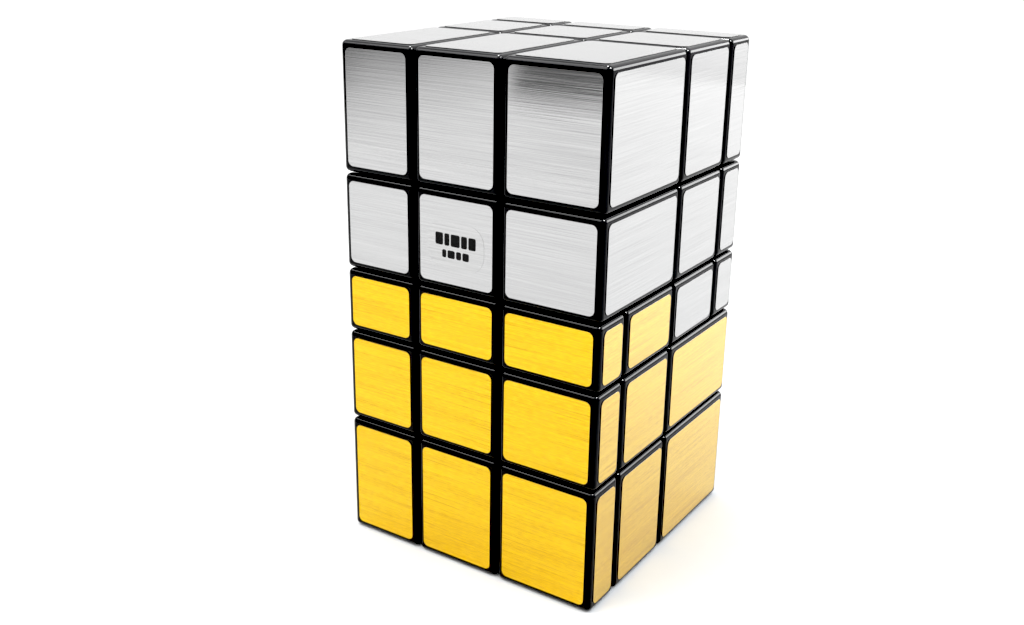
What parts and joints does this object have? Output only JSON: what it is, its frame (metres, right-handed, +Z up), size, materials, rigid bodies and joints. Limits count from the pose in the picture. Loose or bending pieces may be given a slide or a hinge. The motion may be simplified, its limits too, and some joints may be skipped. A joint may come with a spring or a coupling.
{
  "type": "siamese mirror block puzzle",
  "caption": "Tall twisty puzzle of uneven blocks: a silver and a gold mirror-foil half that share one thin layer, each turning on its own core.",
  "frame": {"origin": "middle of the underside, at the height it stands on", "axes": "+Z up along the five layers, +X to the right along the wide front, +Y to the back, where the silver half has its narrow row"},
  "size_m": [0.057, 0.057, 0.101],
  "materials": {
    "silver_foil": "brushed silver foil stickers on black blocks",
    "gold_foil": "brushed gold foil stickers on black blocks",
    "black_plastic": "glossy black moulded plastic",
    "core_plastic": "plain moulded plastic",
    "screw_steel": "bright zinc-plated steel"
  },
  "bodies": {
    "shared_layer": {"fused_block": "black_plastic", "silver_lower_back_edge": "silver_foil", "silver_lower_back_left_corner": "silver_foil", "silver_lower_back_right_corner": "silver_foil", "gold_upper_front_edge": "gold_foil", "gold_upper_front_left_corner": "gold_foil", "gold_upper_front_right_corner": "gold_foil"},
    "second_layer": {"silver_back_centre": "silver_foil", "silver_back_left_edge": "silver_foil", "silver_back_right_edge": "silver_foil", "silver_back_screw": "screw_steel", "silver_core": "core_plastic", "silver_front_centre": "silver_foil", "silver_front_left_edge": "silver_foil", "silver_front_right_edge": "silver_foil", "silver_front_screw": "screw_steel", "silver_left_centre": "silver_foil", "silver_left_screw": "screw_steel", "silver_lower_screw": "screw_steel", "silver_right_centre": "silver_foil", "silver_right_screw": "screw_steel", "silver_top_screw": "screw_steel"},
    "top_layer": {"silver_top_back_edge": "silver_foil", "silver_top_back_left_corner": "silver_foil", "silver_top_back_right_corner": "silver_foil", "silver_top_centre": "silver_foil", "silver_top_front_edge": "silver_foil", "silver_top_front_left_corner": "silver_foil", "silver_top_front_right_corner": "silver_foil", "silver_top_left_edge": "silver_foil", "silver_top_right_edge": "silver_foil"},
    "fourth_layer": {"gold_back_centre": "gold_foil", "gold_back_left_edge": "gold_foil", "gold_back_right_edge": "gold_foil", "gold_back_screw": "screw_steel", "gold_bottom_screw": "screw_steel", "gold_core": "core_plastic", "gold_front_centre": "gold_foil", "gold_front_left_edge": "gold_foil", "gold_front_right_edge": "gold_foil", "gold_front_screw": "screw_steel", "gold_left_centre": "gold_foil", "gold_left_screw": "screw_steel", "gold_right_centre": "gold_foil", "gold_right_screw": "screw_steel", "gold_upper_screw": "screw_steel"},
    "bottom_layer": {"gold_bottom_back_edge": "gold_foil", "gold_bottom_back_left_corner": "gold_foil", "gold_bottom_back_right_corner": "gold_foil", "gold_bottom_centre": "gold_foil", "gold_bottom_front_edge": "gold_foil", "gold_bottom_front_left_corner": "gold_foil", "gold_bottom_front_right_corner": "gold_foil", "gold_bottom_left_edge": "gold_foil", "gold_bottom_right_edge": "gold_foil"}
  },
  "joints": [
    {"name": "second_layer_turn", "type": "hinge", "parent": "shared_layer", "child": "second_layer", "pos_m": [-0.002, 0.0095, 0.0665], "axis": [0, 0, 1], "continuous": true},
    {"name": "top_layer_turn", "type": "hinge", "parent": "second_layer", "child": "top_layer", "pos_m": [-0.002, 0.0095, 0.0885], "axis": [0, 0, 1], "continuous": true},
    {"name": "fourth_layer_turn", "type": "hinge", "parent": "shared_layer", "child": "fourth_layer", "pos_m": [-0.002, -0.0095, 0.0345], "axis": [0, 0, 1], "continuous": true},
    {"name": "bottom_layer_turn", "type": "hinge", "parent": "fourth_layer", "child": "bottom_layer", "pos_m": [-0.002, -0.0095, 0.0125], "axis": [0, 0, 1], "continuous": true}
  ]
}
